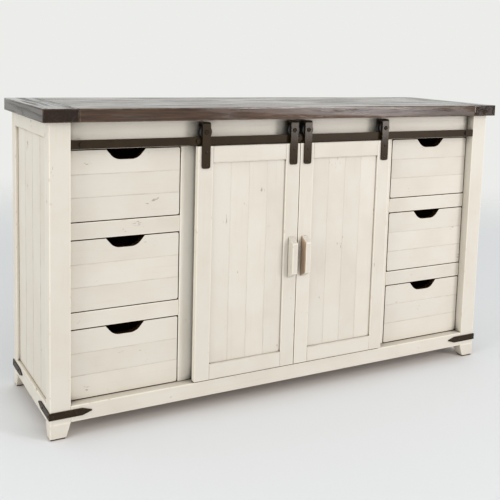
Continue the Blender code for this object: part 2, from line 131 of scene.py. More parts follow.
world = bpy.data.worlds.new("studio")
scene.world = world
world.use_nodes = True
sky = world.node_tree.nodes["Background"]
sky.inputs["Color"].default_value = colour("EDEEEB")
sky.inputs["Strength"].default_value = SKY_STRENGTH
wall = add(world.node_tree, "ShaderNodeBackground", {"Color": colour("ECEDEA")})
seen = add(world.node_tree, "ShaderNodeLightPath")
both = add(world.node_tree, "ShaderNodeMixShader", {
    0: seen.outputs["Is Camera Ray"], 1: sky.outputs[0], 2: wall.outputs[0]})
world.node_tree.links.new(both.outputs[0], world.node_tree.nodes["World Output"].inputs["Surface"])


def lamp(name, place, aim, width, power, tint):
    """A square soft lamp that looks at a point."""
    light = bpy.data.lights.new(name, "AREA")
    light.size = width
    light.energy = power
    light.color = colour(tint)[:3]
    holder = bpy.data.objects.new(name, light)
    scene.collection.objects.link(holder)
    holder.location = place
    holder.rotation_euler = (Vector(aim) - Vector(place)).to_track_quat("-Z", "Y").to_euler()
    return holder


# Name, place, aim, width in metres, power in watts and tint.
lamp("key", (3.2, -4.4, 1.25), (0.0, 0.0, 0.5), 1.3, 96.0, "FFFAF9")
lamp("strip", (1.6, -2.9, 2.3), (0.0, 0.0, 0.7), 0.5, 14.0, "FFFCFA")
lamp("front_fill", (-2.6, -4.6, 1.5), (0.0, 0.0, 0.5), 1.8, 9.0, "FFFCF9")
lamp("left_fill", (-3.9, -1.2, 1.5), (-0.7, -0.1, 0.4), 2.2, 52.0, "FFFFFB")
scene.view_settings.view_transform = "Standard"

# %% Floor
FLOOR_RADIUS = 4.5
FLOOR_CLEAR = 2.2         # the disc is solid this far out, then fades
FLOOR_SHADE = 0.16        # how far the tint under the case reaches

floor_material, tree, shader = new_material("matt_studio_floor")
place = add(tree, "ShaderNodeTexCoord")
reach = add(tree, "ShaderNodeVectorMath", {0: place.outputs["Object"]}, operation="LENGTH")
solid = add(tree, "ShaderNodeMapRange", {
    "Value": reach.outputs["Value"], "From Min": FLOOR_RADIUS, "From Max": FLOOR_CLEAR,
    "To Min": 0.0, "To Max": 1.0}, interpolation_type="SMOOTHSTEP")
# Painted shade and warm bounce light: the floor turns a little warmer and darker close
# under the case.
under = add(tree, "ShaderNodeAmbientOcclusion", {"Distance": FLOOR_SHADE}, samples=8)
under_case_shade = add(tree, "ShaderNodeMapRange", {
    "Value": under.outputs["AO"], "From Min": 0.35, "From Max": 0.8})
tint = add(tree, "ShaderNodeMixRGB", {
    "Fac": under_case_shade.outputs["Result"], "Color1": colour("DDD6D2"), "Color2": colour("E2E4E8")})
tree.links.new(tint.outputs["Color"], shader.inputs["Base Color"])
shader.inputs["Roughness"].default_value = 0.9
tree.links.new(solid.outputs["Result"], shader.inputs["Alpha"])

# %% Floor disc
disc = bmesh.new()
bmesh.ops.create_circle(disc, cap_ends=True, radius=FLOOR_RADIUS, segments=96)
floor_mesh = bpy.data.meshes.new("studio_floor")
disc.to_mesh(floor_mesh)
disc.free()
floor_mesh.materials.append(floor_material)
studio_floor = bpy.data.objects.new("studio_floor", floor_mesh)
scene.collection.objects.link(studio_floor)
print("floor radius", FLOOR_RADIUS, "m")

# %% [markdown]
# ## What a board carries with it
# A procedural finish has to know three things about a board that a plain mesh doesn't say:
# which way its grain runs, where its worn edges are, and where two planks meet. Each board
# mesh stores them at its points: `grain` is the place along and across the grain in metres
# with its own random start, `edge` is 1 on an outer rounded edge, `seam` says how much glaze
# an edge holds where boards meet, and `tone` is one random number for the whole board.

# %% From a shape in the making to a mesh
def as_mesh(shape):
    mesh = bpy.data.meshes.new("part")
    shape.to_mesh(mesh)
    shape.free()
    return mesh


# %% Softened boards
GRAIN_ORDER = {"X": (0, 1, 2), "Y": (1, 0, 2), "Z": (2, 0, 1)}
RIM = 4 * MM              # how far wear reaches from an edge
ROUND = 1.2 * MM          # radius of a sanded edge
SEAM_ROUND = 0.3 * MM     # radius of the edges where planks meet
PLANK_LINE = 0.4          # how much glaze a seam between planks holds
FAINT_LINE = 0.15         # where the planks are tightly glued
FRAME_LINE = 1.1          # and a joint with a frame
dice = random.Random(11)


def soften(shape, round_by):
    """Rounds the sharp edges. Keeps a flat field inside each face, and returns its points."""
    fields = []
    for face in list(shape.faces):
        rim = min(RIM, 0.3 * min(edge.calc_length() for edge in face.edges))
        bmesh.ops.inset_individual(shape, faces=[face], thickness=rim, use_even_offset=True)
        fields.append(face)
    flat = {vert for face in fields for vert in face.verts}
    outer = [edge for edge in shape.edges if not flat.intersection(edge.verts)]
    sharp = [edge for edge in outer if edge.calc_face_angle(0.0) > 0.5]
    bmesh.ops.bevel(shape, geom=sharp, offset=round_by, segments=2, profile=0.5, affect="EDGES",
                    clamp_overlap=True)
    return flat


def dressed(shape, grain="X", round_by=ROUND, seams=()):
    """Turns a sharp solid into a board mesh. seams are (axis, place, strength) planes."""
    bmesh.ops.recalc_face_normals(shape, faces=shape.faces[:])
    edge_layer = shape.verts.layers.float.new("edge")
    seam_layer = shape.verts.layers.float.new("seam")
    tone_layer = shape.verts.layers.float.new("tone")
    grain_layer = shape.verts.layers.float_vector.new("grain")
    flat = soften(shape, round_by)
    tone = dice.random()
    start = Vector((dice.uniform(-9, 9), dice.uniform(-9, 9), dice.uniform(-9, 9)))
    order = GRAIN_ORDER[grain]
    for vert in shape.verts:
        near = [weight for axis, at, weight in seams if abs(vert.co[axis] - at) < round_by + 0.3 * MM]
        vert[edge_layer] = 0.0 if vert in flat or near else 1.0
        vert[seam_layer] = 0.0 if vert in flat else max(near, default=0.0)
        vert[tone_layer] = tone
        vert[grain_layer] = start + Vector(vert.co[axis] for axis in order)
    return as_mesh(shape)


def box_shape(low, high):
    """A sharp box between two corners."""
    shape = bmesh.new()
    bmesh.ops.create_cube(shape, size=1.0)
    for vert in shape.verts:
        vert.co = [high[i] if vert.co[i] > 0 else low[i] for i in range(3)]
    return shape


def board(low, high, grain="X", round_by=ROUND, seams=()):
    return dressed(box_shape(low, high), grain, round_by, seams)


def planks(low, high, across, count, grain, line=PLANK_LINE, framed=(), frame_line=FRAME_LINE):
    """Boards side by side that fill a box. framed are the axes whose ends meet a frame."""
    made = []
    border = [(axis, end[axis], frame_line) for axis in framed for end in (low, high)]
    cuts = [low[across] + (high[across] - low[across]) * i / count for i in range(count + 1)]
    for begin, end in zip(cuts, cuts[1:]):
        one_low, one_high = list(low), list(high)
        one_low[across], one_high[across] = begin, end
        seams = [(across, at, line) for at in (begin, end) if low[across] < at < high[across]]
        made.append(board(one_low, one_high, grain, SEAM_ROUND, seams + border))
    return made


# A trial board, 300 mm long, which is only measured.
test = board((0, 0, 0), (0.3, 0.06, 0.02))
print("a board has", len(test.vertices), "points and carries", [a.name for a in test.attributes][:8])
bpy.data.meshes.remove(test)

# %% [markdown]
# ## Joining boards into a piece
# A piece is one object. It may hold several boards, such as the four planks of a door panel.
# It rides on a body of the frame, stands for the plain solid there, and takes the finish
# that it is given.


def piece(name, meshes, material, body, *stands_for):
    """Joins meshes into one object, and ties it to the frame."""
    shape = bmesh.new()
    for mesh in meshes:
        shape.from_mesh(mesh)
        bpy.data.meshes.remove(mesh)
    joined = bpy.data.meshes.new(name)
    shape.to_mesh(joined)
    shape.free()
    joined.materials.append(material)
    joined.shade_smooth()
    joined.set_sharp_from_angle(angle=radians(50))
    made = bpy.data.objects.new(name, joined)
    scene.collection.objects.link(made)
    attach(made, body)
    if stands_for:
        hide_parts(*stands_for)
    return made


def spread(low, high, axis, share):
    """A place between two corners along one axis, for instance 0.5 for the middle."""
    return low[axis] + (high[axis] - low[axis]) * share


# %% [markdown]
# ## Milk paint over wood
# The case is solid wood under a brushed, almost matt milk paint. A thin brown glaze was
# wiped over it: it stayed in the seams and a little in the grain, and the edges were sanded
# back a touch. So the finish has layers: the cream paint with a faint tan cloudiness, the
# lines of the grain, the glaze in the seams, a tan veil and brown lines in sheltered places
# and corners that are partly glaze and partly painted shade, paler edges that are partly
# painted highlight, near-black painted shade in the gaps, and a few dark chips. A texture
# could hold all of this, but nodes fit any board without being laid out on it. Ambient
# occlusion nodes find the sheltered places, one that reaches 50 mm and one that reaches 4 mm.

# %% Paint
PAINT = "D0CAC0"              # the cream
PAINT_TAN = "C6BEB0"          # its cloudy places
STREAK = "B9A78C"             # lines of the grain
GLAZE_AND_SHADE = "75573B"              # brown glaze in seams, glaze and painted shade in corners
VEIL_AND_SHADE = "C4B192"               # the same glaze wiped thin, with painted shade in sheltered places
GAP_SHADE = "1C130C"                # painted shade inside the gaps round doors and drawers
# The edges' pale colour is partly painted highlight and partly rubbed paint.
PALE_EDGE_HIGHLIGHT = "EFE6D6"
RUBBED = "B79B78"             # wood that shows on an edge
CHIP = "6B5238"
WIDE_SHELTER = 50 * MM
CORNER_SHELTER = 4 * MM


def made_paint(name, veil_shade_depth, lift=1.0):
    """The veil's depth is the most that the wiped glaze and painted shade cover, and lift scales the cream.
    """
    made, tree, shader = new_material(name)
    grain = add(tree, "ShaderNodeAttribute", attribute_name="grain").outputs["Vector"]
    edge = add(tree, "ShaderNodeAttribute", attribute_name="edge").outputs["Fac"]
    seam = add(tree, "ShaderNodeAttribute", attribute_name="seam").outputs["Fac"]
    tone = add(tree, "ShaderNodeAttribute", attribute_name="tone").outputs["Fac"]
    # Grain lines 6 mm apart run about 150 mm; brush marks 2 mm apart run about 60 mm.
    along = add(tree, "ShaderNodeVectorMath", {0: grain, 1: (0.04, 1, 1)}, operation="MULTIPLY")
    lines = add(tree, "ShaderNodeTexNoise", {
        "Vector": along.outputs["Vector"], "Scale": 160, "Detail": 4, "Roughness": 0.6})
    brush = add(tree, "ShaderNodeTexNoise", {
        "Vector": along.outputs["Vector"], "Scale": 500, "Detail": 2})
    cloud = add(tree, "ShaderNodeTexNoise", {"Vector": grain, "Scale": 7, "Detail": 3})
    cloudy = add(tree, "ShaderNodeMapRange", {
        "Value": cloud.outputs["Fac"], "From Min": 0.42, "From Max": 0.72, "To Max": 0.5})
    base = add(tree, "ShaderNodeMixRGB", {
        "Fac": cloudy.outputs["Result"], "Color1": colour(PAINT), "Color2": colour(PAINT_TAN)})
    # Each board took the paint a little differently.
    lighter = add(tree, "ShaderNodeMapRange", {
        "Value": tone, "To Min": 0.97 * lift, "To Max": 1.02 * lift})
    toned = add(tree, "ShaderNodeVectorMath", {
        0: base.outputs["Color"], "Scale": lighter.outputs["Result"]}, operation="SCALE")
    streak = add(tree, "ShaderNodeMapRange", {
        "Value": lines.outputs["Fac"], "From Min": 0.56, "From Max": 0.78, "To Max": 0.16})
    streaked = add(tree, "ShaderNodeMixRGB", {
        "Fac": streak.outputs["Result"], "Color1": toned.outputs["Vector"], "Color2": colour(STREAK)})

    # Glaze and painted shade: a tan veil in sheltered places, near something that stands proud.
    sheltered = add(tree, "ShaderNodeAmbientOcclusion", {"Distance": WIDE_SHELTER}, samples=8)
    veil_shade = add(tree, "ShaderNodeMapRange", {
        "Value": sheltered.outputs["AO"], "From Min": 0.80, "From Max": 0.35, "To Max": veil_shade_depth})
    brushed = add(tree, "ShaderNodeMapRange", {
        "Value": lines.outputs["Fac"], "From Min": 0.35, "From Max": 0.65,
        "To Min": 0.4, "To Max": 1.0})
    uneven = add(tree, "ShaderNodeMath", {0: veil_shade.outputs["Result"], 1: brushed.outputs["Result"]},
                 operation="MULTIPLY")
    veiled_and_shaded = add(tree, "ShaderNodeMixRGB", {
        "Fac": uneven.outputs[0], "Color1": streaked.outputs["Color"], "Color2": colour(VEIL_AND_SHADE)})
    # Brown lines in corners with another board, partly glaze and partly painted shade;
    # near-black painted shade in the narrow gaps round doors and drawers; and glaze broken
    # along the seams between planks.
    near = add(tree, "ShaderNodeAmbientOcclusion", {"Distance": CORNER_SHELTER}, samples=8)
    corner = add(tree, "ShaderNodeMapRange", {
        "Value": near.outputs["AO"], "From Min": 0.72, "From Max": 0.44, "To Max": 0.85})
    # Painted shade: near black deep in the narrow gaps round doors and drawers.
    gap_shade = add(tree, "ShaderNodeMapRange", {
        "Value": sheltered.outputs["AO"], "From Min": 0.44, "From Max": 0.31, "To Max": 0.97})
    patch = add(tree, "ShaderNodeTexNoise", {"Vector": grain, "Scale": 22, "Detail": 3})
    broken = add(tree, "ShaderNodeMapRange", {
        "Value": patch.outputs["Fac"], "From Min": 0.42, "From Max": 0.68,
        "To Min": 0.15, "To Max": 0.60})
    wiped = add(tree, "ShaderNodeMath", {0: seam, 1: broken.outputs["Result"]}, operation="MULTIPLY")
    off_seam = add(tree, "ShaderNodeMapRange", {
        "Value": seam, "From Max": 0.1, "To Min": 1.0, "To Max": 0.0})
    inside = add(tree, "ShaderNodeMath", {
        0: corner.outputs["Result"], 1: off_seam.outputs["Result"]}, operation="MULTIPLY")
    glaze_and_shade = add(tree, "ShaderNodeMath", {
        0: inside.outputs[0], 1: wiped.outputs[0]}, operation="MAXIMUM", use_clamp=True)
    glazed_and_shaded = add(tree, "ShaderNodeMixRGB", {
        "Fac": glaze_and_shade.outputs[0], "Color1": veiled_and_shaded.outputs["Color"], "Color2": colour(GLAZE_AND_SHADE)})

    # Edges: paler all along, partly painted highlight and partly rubbed paint, and down
    # to the wood in patches 20 mm long.
    highlight = add(tree, "ShaderNodeMath", {0: edge, 1: 0.45}, operation="MULTIPLY")
    highlighted = add(tree, "ShaderNodeMixRGB", {
        "Fac": highlight.outputs[0], "Color1": glazed_and_shaded.outputs["Color"], "Color2": colour(PALE_EDGE_HIGHLIGHT)})
    wear = add(tree, "ShaderNodeTexNoise", {"Vector": grain, "Scale": 50, "Detail": 4})
    worn = add(tree, "ShaderNodeMapRange", {
        "Value": wear.outputs["Fac"], "From Min": 0.62, "From Max": 0.70, "To Max": 0.45})
    rubbed = add(tree, "ShaderNodeMath", {0: edge, 1: worn.outputs["Result"]}, operation="MULTIPLY")
    edged = add(tree, "ShaderNodeMixRGB", {
        "Fac": rubbed.outputs[0], "Color1": highlighted.outputs["Color"], "Color2": colour(RUBBED)})
    gap_shaded = add(tree, "ShaderNodeMixRGB", {
        "Fac": gap_shade.outputs["Result"], "Color1": edged.outputs["Color"], "Color2": colour(GAP_SHADE)})

    # Chips: dashes 2 mm by 10 mm along the grain, in a few places only.
    dash = add(tree, "ShaderNodeVectorMath", {0: grain, 1: (0.3, 1, 1)}, operation="MULTIPLY")
    small = add(tree, "ShaderNodeTexNoise", {
        "Vector": dash.outputs["Vector"], "Scale": 230, "Detail": 2})
    where = add(tree, "ShaderNodeTexNoise", {"Vector": grain, "Scale": 17, "Detail": 1})
    sparse = add(tree, "ShaderNodeMath", {
        0: small.outputs["Fac"], 1: where.outputs["Fac"]}, operation="ADD")
    chip = add(tree, "ShaderNodeMapRange", {
        "Value": sparse.outputs[0], "From Min": 1.37, "From Max": 1.44, "To Max": 0.6})
    chipped = add(tree, "ShaderNodeMixRGB", {
        "Fac": chip.outputs["Result"], "Color1": gap_shaded.outputs["Color"], "Color2": colour(CHIP)})
    tree.links.new(chipped.outputs["Color"], shader.inputs["Base Color"])

    matt = add(tree, "ShaderNodeMapRange", {
        "Value": cloud.outputs["Fac"], "To Min": 0.5, "To Max": 0.72})
    tree.links.new(matt.outputs["Result"], shader.inputs["Roughness"])
    height = add(tree, "ShaderNodeMath", {
        0: lines.outputs["Fac"], 1: brush.outputs["Fac"]}, operation="ADD")
    dented = add(tree, "ShaderNodeMath", {
        0: height.outputs[0], 1: chip.outputs["Result"]}, operation="SUBTRACT")
    relief = add(tree, "ShaderNodeBump", {
        "Height": dented.outputs[0], "Strength": 0.35, "Distance": 0.3 * MM})
    tree.links.new(relief.outputs["Normal"], shader.inputs["Normal"])
    return made


# The doors carry less of the veil of glaze and painted shade. These lamps leave the top rail
# and the stiles darker than they should look, so their cream is set a tenth paler to make up
# for it.
paint = made_paint("milk_paint_over_wood", 0.3)
door_paint = made_paint("milk_paint_on_doors", 0.08)
sheltered_paint = made_paint("milk_paint_behind_doors", 0.05, 1.1)
print("each paint has", len(paint.node_tree.nodes), "nodes")

# %% [markdown]
# ## Stained wood
# The top is oak under a dark brown stain and a satin lacquer. Stain soaks into the open
# pores, so the grain shows as thin dark lines in a warmer brown, and sanding has left the
# edges lighter. The boards across the ends drank more stain and are almost black. The same
# build with paler browns gives the oiled wood inside and the tan wood on the handles' sides.

# %% Stained and oiled wood
def made_wood(name, dark, light, worn, polished, open_grain):
    """Three colours, then the roughness where lacquer lies thick and where it sank in."""
    made, tree, shader = new_material(name)
    grain = add(tree, "ShaderNodeAttribute", attribute_name="grain").outputs["Vector"]
    edge = add(tree, "ShaderNodeAttribute", attribute_name="edge").outputs["Fac"]
    seam = add(tree, "ShaderNodeAttribute", attribute_name="seam").outputs["Fac"]
    tone = add(tree, "ShaderNodeAttribute", attribute_name="tone").outputs["Fac"]
    # The broad figure is 30 mm wide, its lines 5 mm, and the pores 1 mm, all drawn long.
    along = add(tree, "ShaderNodeVectorMath", {0: grain, 1: (0.05, 1, 1)}, operation="MULTIPLY")
    figure = add(tree, "ShaderNodeTexNoise", {
        "Vector": along.outputs["Vector"], "Scale": 32, "Detail": 2, "Distortion": 0.6})
    lines = add(tree, "ShaderNodeTexNoise", {
        "Vector": along.outputs["Vector"], "Scale": 190, "Detail": 4, "Roughness": 0.65})
    pores = add(tree, "ShaderNodeTexNoise", {
        "Vector": along.outputs["Vector"], "Scale": 900, "Detail": 2})
    both = add(tree, "ShaderNodeMath", {0: figure.outputs["Fac"], 1: lines.outputs["Fac"]}, operation="ADD")
    shade = add(tree, "ShaderNodeMapRange", {
        "Value": both.outputs[0], "From Min": 0.72, "From Max": 1.28})
    base = add(tree, "ShaderNodeMixRGB", {
        "Fac": shade.outputs["Result"], "Color1": colour(dark), "Color2": colour(light)})
    lighter = add(tree, "ShaderNodeMapRange", {"Value": tone, "To Min": 0.8, "To Max": 1.2})
    toned = add(tree, "ShaderNodeVectorMath", {
        0: base.outputs["Color"], "Scale": lighter.outputs["Result"]}, operation="SCALE")
    pore = add(tree, "ShaderNodeMapRange", {
        "Value": pores.outputs["Fac"], "From Min": 0.60, "From Max": 0.72, "To Max": 0.55})
    pored = add(tree, "ShaderNodeMixRGB", {
        "Fac": pore.outputs["Result"], "Color1": toned.outputs["Vector"], "Color2": colour(dark)})
    wear = add(tree, "ShaderNodeTexNoise", {"Vector": grain, "Scale": 40, "Detail": 4})
    patch = add(tree, "ShaderNodeMapRange", {
        "Value": wear.outputs["Fac"], "From Min": 0.45, "From Max": 0.62, "To Min": 0.15, "To Max": 0.8})
    rubbed = add(tree, "ShaderNodeMath", {0: edge, 1: patch.outputs["Result"]}, operation="MULTIPLY")
    edged = add(tree, "ShaderNodeMixRGB", {
        "Fac": rubbed.outputs[0], "Color1": pored.outputs["Color"], "Color2": colour(worn)})
    seamed = add(tree, "ShaderNodeMixRGB", {
        "Fac": seam, "Color1": edged.outputs["Color"], "Color2": colour(dark)})
    tree.links.new(seamed.outputs["Color"], shader.inputs["Base Color"])
    # Streaks 20 mm wide and 250 mm long reflect less at a low angle.
    long = add(tree, "ShaderNodeVectorMath", {0: grain, 1: (0.08, 1, 1)}, operation="MULTIPLY")
    dull = add(tree, "ShaderNodeTexNoise", {
        "Vector": long.outputs["Vector"], "Scale": 55, "Detail": 3, "Roughness": 0.6, "Distortion": 0.8})
    sheen = add(tree, "ShaderNodeMapRange", {
        "Value": dull.outputs["Fac"], "From Min": 0.42, "From Max": 0.64,
        "To Min": polished, "To Max": open_grain})
    tree.links.new(sheen.outputs["Result"], shader.inputs["Roughness"])
    height = add(tree, "ShaderNodeMath", {
        0: lines.outputs["Fac"], 1: pore.outputs["Result"]}, operation="SUBTRACT")
    relief = add(tree, "ShaderNodeBump", {
        "Height": height.outputs[0], "Strength": 0.2, "Distance": 0.25 * MM})
    tree.links.new(relief.outputs["Normal"], shader.inputs["Normal"])
    return made


stained = made_wood("stained_oak", "1F1209", "533A28", "77634F", 0.08, 0.36)
stained_ends = made_wood("stained_oak_end_boards", "140A05", "2E1B0F", "4A3A29", 0.08, 0.36)
tan_handle_wood = made_wood("tan_handle_side_wood", "96806A", "BFA990", "D2BEA4", 0.45, 0.7)
oiled = made_wood("oiled_dark_pine", "4A3627", "7C5D42", "93714F", 0.55, 0.8)
# The end boards shine less than the rest of the top.
ends_shader = stained_ends.node_tree.nodes["Principled BSDF"]
ends_shader.inputs["Specular IOR Level"].default_value = 0.32
print("woods", [wood.name for wood in (stained, stained_ends, tan_handle_wood, oiled)])

# %% [markdown]
# ## Bronze powder coat
# The track, the straps and the corner brackets are flat steel with a dark bronze powder
# coat over a lightly hammered face. Powder coat isn't bare metal, but this one holds bronze
# flakes, so it is a third metallic under a thin clear coat. The dimples are about 4 mm
# across and a few hundredths of a millimetre deep. Nylon and felt are plain by comparison.

# %% Powder coat, nylon and felt
def made_coat(name, dark, light, roughness):
    made, tree, shader = new_material(name)
    place = add(tree, "ShaderNodeTexCoord").outputs["Object"]
    mottle = add(tree, "ShaderNodeTexNoise", {"Vector": place, "Scale": 30, "Detail": 4})
    shade = add(tree, "ShaderNodeMapRange", {
        "Value": mottle.outputs["Fac"], "From Min": 0.25, "From Max": 0.75})
    base = add(tree, "ShaderNodeMixRGB", {
        "Fac": shade.outputs["Result"], "Color1": colour(dark), "Color2": colour(light)})
    tree.links.new(base.outputs["Color"], shader.inputs["Base Color"])
    shader.inputs["Metallic"].default_value = 0.3
    shader.inputs["Specular IOR Level"].default_value = 0.1
    shader.inputs["Coat Weight"].default_value = 0.2
    shader.inputs["Coat Roughness"].default_value = 0.16
    sheen = add(tree, "ShaderNodeMapRange", {
        "Value": mottle.outputs["Fac"], "To Min": roughness - 0.1, "To Max": roughness + 0.1})
    tree.links.new(sheen.outputs["Result"], shader.inputs["Roughness"])
    dimples = add(tree, "ShaderNodeTexVoronoi", {"Vector": place, "Scale": 250}, feature="SMOOTH_F1")
    relief = add(tree, "ShaderNodeBump", {
        "Height": dimples.outputs["Distance"], "Strength": 0.25, "Distance": 0.2 * MM})
    tree.links.new(relief.outputs["Normal"], shader.inputs["Normal"])
    return made


def made_plain(name, dark, light, grit, roughness):
    """Nylon or felt: one colour with fine grit, which is drawn coarse enough to show."""
    made, tree, shader = new_material(name)
    place = add(tree, "ShaderNodeTexCoord").outputs["Object"]
    noise = add(tree, "ShaderNodeTexNoise", {"Vector": place, "Scale": 1 / grit, "Detail": 3})
    base = add(tree, "ShaderNodeMixRGB", {
        "Fac": noise.outputs["Fac"], "Color1": colour(dark), "Color2": colour(light)})
    tree.links.new(base.outputs["Color"], shader.inputs["Base Color"])
    shader.inputs["Roughness"].default_value = roughness
    relief = add(tree, "ShaderNodeBump", {
        "Height": noise.outputs["Fac"], "Strength": 0.3, "Distance": 0.1 * MM})
    tree.links.new(relief.outputs["Normal"], shader.inputs["Normal"])
    return made


coat = made_coat("bronze_powder_coat", "241A0F", "302414", 0.50)
coat_screws = made_coat("bronze_powder_coat_screws", "1C1711", "3A3127", 0.30)
nylon = made_plain("black_nylon", "101010", "1E1D1C", 1.5 * MM, 0.5)
felt_and_contact_shade = made_plain("black_felt_and_contact_shade", "141210", "2A2623", 0.8 * MM, 0.95)
print("hardware finishes", coat.name, coat_screws.name, nylon.name, felt_and_contact_shade.name)

# %% [markdown]
# ## The top
# Five long boards are glued edge to edge, and a board across each end keeps them flat. The
# seams are fine, and the outer edge is sanded round. Making each board by itself gives each
# its own tone and start of grain, which is what tells a real panel from a printed one.

# %% Top boards
TOP_PLANKS = 5
low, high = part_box("top_panel")
piece("top_boards", planks(low, high, 1, TOP_PLANKS, "X"), stained, "cabinet", "top_panel")
for side in ("left", "right"):
    low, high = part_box("top_end_" + side)
    end_board = board(low, high, "Y", 1.5 * MM)
    piece("breadboard_" + side, [end_board], stained_ends, "cabinet", "top_end_" + side)
print("top is", round((high - low).z / MM, 1), "mm thick")

# %% [markdown]
# ## Posts and their glides
# Each post is one square length of wood. Below the rails its two inner faces slope in to a
# smaller foot. A black felt glide under the foot shows as a thin dark line on the floor, and
# its black partly stands in for the contact shadow there. A post is four flat faces between
# three outlines, so it is skinned between rings of points.

# %% Posts
FOOT_WIDTH = 43 * MM
FOOT_DEPTH = 30 * MM
GLIDE = 3.5 * MM
GLIDE_INSET = 2 * MM
foot_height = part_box("front_bottom_rail")[0].z


def skinned(rings):
    """A closed solid through rings that hold the same number of points."""
    shape = bmesh.new()
    loops = [[shape.verts.new(point) for point in ring] for ring in rings]
    shape.faces.new(loops[0])
    shape.faces.new(loops[-1])
    for one, other in zip(loops, loops[1:]):
        for i in range(len(one)):
            j = (i + 1) % len(one)
            shape.faces.new((one[i], one[j], other[j], other[i]))
    return shape


def post_ring(corner, inward_x, inward_y, wide, deep, z):
    """The outline of a post at one height, from its outer corner."""
    across, back = corner[0] + inward_x * wide, corner[1] + inward_y * deep
    return [(corner[0], corner[1], z), (across, corner[1], z), (across, back, z), (corner[0], back, z)]


for place, inward_y in (("front", 1), ("back", -1)):
    for side, inward_x in (("left", 1), ("right", -1)):
        node = "post_" + place + "_" + side
        low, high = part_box(node)
        size = high - low
        corner = (low.x if inward_x > 0 else high.x, low.y if inward_y > 0 else high.y)
        slope = GLIDE / foot_height
        toe = (FOOT_WIDTH + (size.x - FOOT_WIDTH) * slope, FOOT_DEPTH + (size.y - FOOT_DEPTH) * slope)
        rings = [
            post_ring(corner, inward_x, inward_y, *toe, low.z + GLIDE),
            post_ring(corner, inward_x, inward_y, size.x, size.y, foot_height),
            post_ring(corner, inward_x, inward_y, size.x, size.y, high.z),
        ]
        piece(node + "_wood", [dressed(skinned(rings), "Z")], paint, "cabinet", node)
        inset = (corner[0] + inward_x * GLIDE_INSET, corner[1] + inward_y * GLIDE_INSET)
        pad = [post_ring(inset, inward_x, inward_y, FOOT_WIDTH - 2 * GLIDE_INSET,
                         FOOT_DEPTH - 2 * GLIDE_INSET, z) for z in (low.z, low.z + GLIDE)]
        # The glide's black is partly painted contact shadow along the foot's bottom.
        piece("glide_" + place + "_" + side, [dressed(skinned(pad), "X", 0.5 * MM)], felt_and_contact_shade, "cabinet")
print("feet start", round(foot_height / MM, 1), "mm above the floor")

# %% [markdown]
# ## Rails, stiles and side panels
# These are plain boards, so their boxes say everything. The side panels are four upright
# planks each, set back from the rails, and the glaze gathers where they meet the frame. It
# also shows as a thin line under the side top rail, where it is partly painted shadow.

# %% Frame boards
SIDE_PLANKS = 4
for node, grain in (
    ("front_top_rail", "X"),
    ("front_bottom_rail", "X"),
    ("side_top_rail_left", "Y"),
    ("side_top_rail_right", "Y"),
    ("side_bottom_rail_left", "Y"),
    ("side_bottom_rail_right", "Y"),
    ("divider_stile_left", "Z"),
    ("divider_stile_right", "Z"),
):
    low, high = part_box(node)
    # The line along the side top rail's lower edge is glaze and painted shadow under the rail.
    seams = [(2, low.z, FRAME_LINE)] if node.startswith("side_top") else []
    coating = sheltered_paint if node.startswith(("front_top", "divider")) else paint
    piece(node + "_wood", [board(low, high, grain, ROUND, seams)], coating, "cabinet", node)
for side in ("left", "right"):
    node = "side_panel_" + side
    low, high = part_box(node)
    boards = planks(low, high, 1, SIDE_PLANKS, "Z", FAINT_LINE, (1, 2))
    piece(node + "_planks", boards, paint, "cabinet", node)
print("side planks are", round((high - low).y / SIDE_PLANKS / MM, 1), "mm wide")

# %% [markdown]
# ## Rails between the drawers
# Each is a painted rail with a bare board behind it, on which the drawer above slides.

# %% Drawer rails
rail_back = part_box("front_top_rail")[1].y
SLIDE_BOARD = 10 * MM
for side in ("left", "right"):
    for level in ("upper", "lower"):
        node = "drawer_divider_" + side + "_" + level
        low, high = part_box(node)
        piece("drawer_rail_" + side + "_" + level, [board(low, (high.x, rail_back, high.z), "X")],
              paint, "cabinet", node)
        behind = board((low.x, rail_back, high.z - SLIDE_BOARD), high, "Y", 0.8 * MM)
        piece("slide_board_" + side + "_" + level, [behind], oiled, "cabinet", node)
print("slide boards reach", round(high.y, 3))

# %% [markdown]
# ## Inside boards
# The partitions, linings, floor, shelf and back are bare wood with a dark oil.

# %% Inside boards
for node, grain in (
    ("partition_left", "Y"),
    ("partition_right", "Y"),
    ("side_lining_left", "Y"),
    ("side_lining_right", "Y"),
    ("floor_panel", "X"),
    ("center_shelf", "X"),
):
    piece(node + "_wood", [board(*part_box(node), grain, 0.8 * MM)], oiled, "cabinet", node)
piece("back_boards", planks(*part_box("back_panel"), 0, 8, "Z"), oiled, "cabinet", "back_panel")
print("inside boards done")

# %% [markdown]
# ## Drawers
# A drawer front is three planks. The upper one has a hand hole in its edge: two slopes that
# round into a flat floor. Its outline is drawn from lines and arcs and pushed back into a
# solid. The cut faces of the hole take a second material, the near black of the end boards,
# as painted shade inside the hole. Behind the front is a box of thinner boards, open at the
# top.

# %% Drawer fronts and boxes
PULL_WIDTH = 110 * MM
PULL_DEPTH = 27 * MM
PULL_SLOPE = radians(50)      # of its two ends, above level
PULL_CORNER = 36 * MM         # radius between an end and the floor of the hole
PULL_STEPS = 9
CORNER = 5 * MM               # radius of a drawer front's four corners
WALL = 12 * MM
BOTTOM = 6 * MM
BOTTOM_RISE = 10 * MM


def arc(centre, radius, begin, end, steps):
    """Points along a circle between two angles, as (x, z)."""
    turns = [begin + (end - begin) * i / steps for i in range(steps + 1)]
    return [(centre[0] + radius * cos(a), centre[1] + radius * sin(a)) for a in turns]


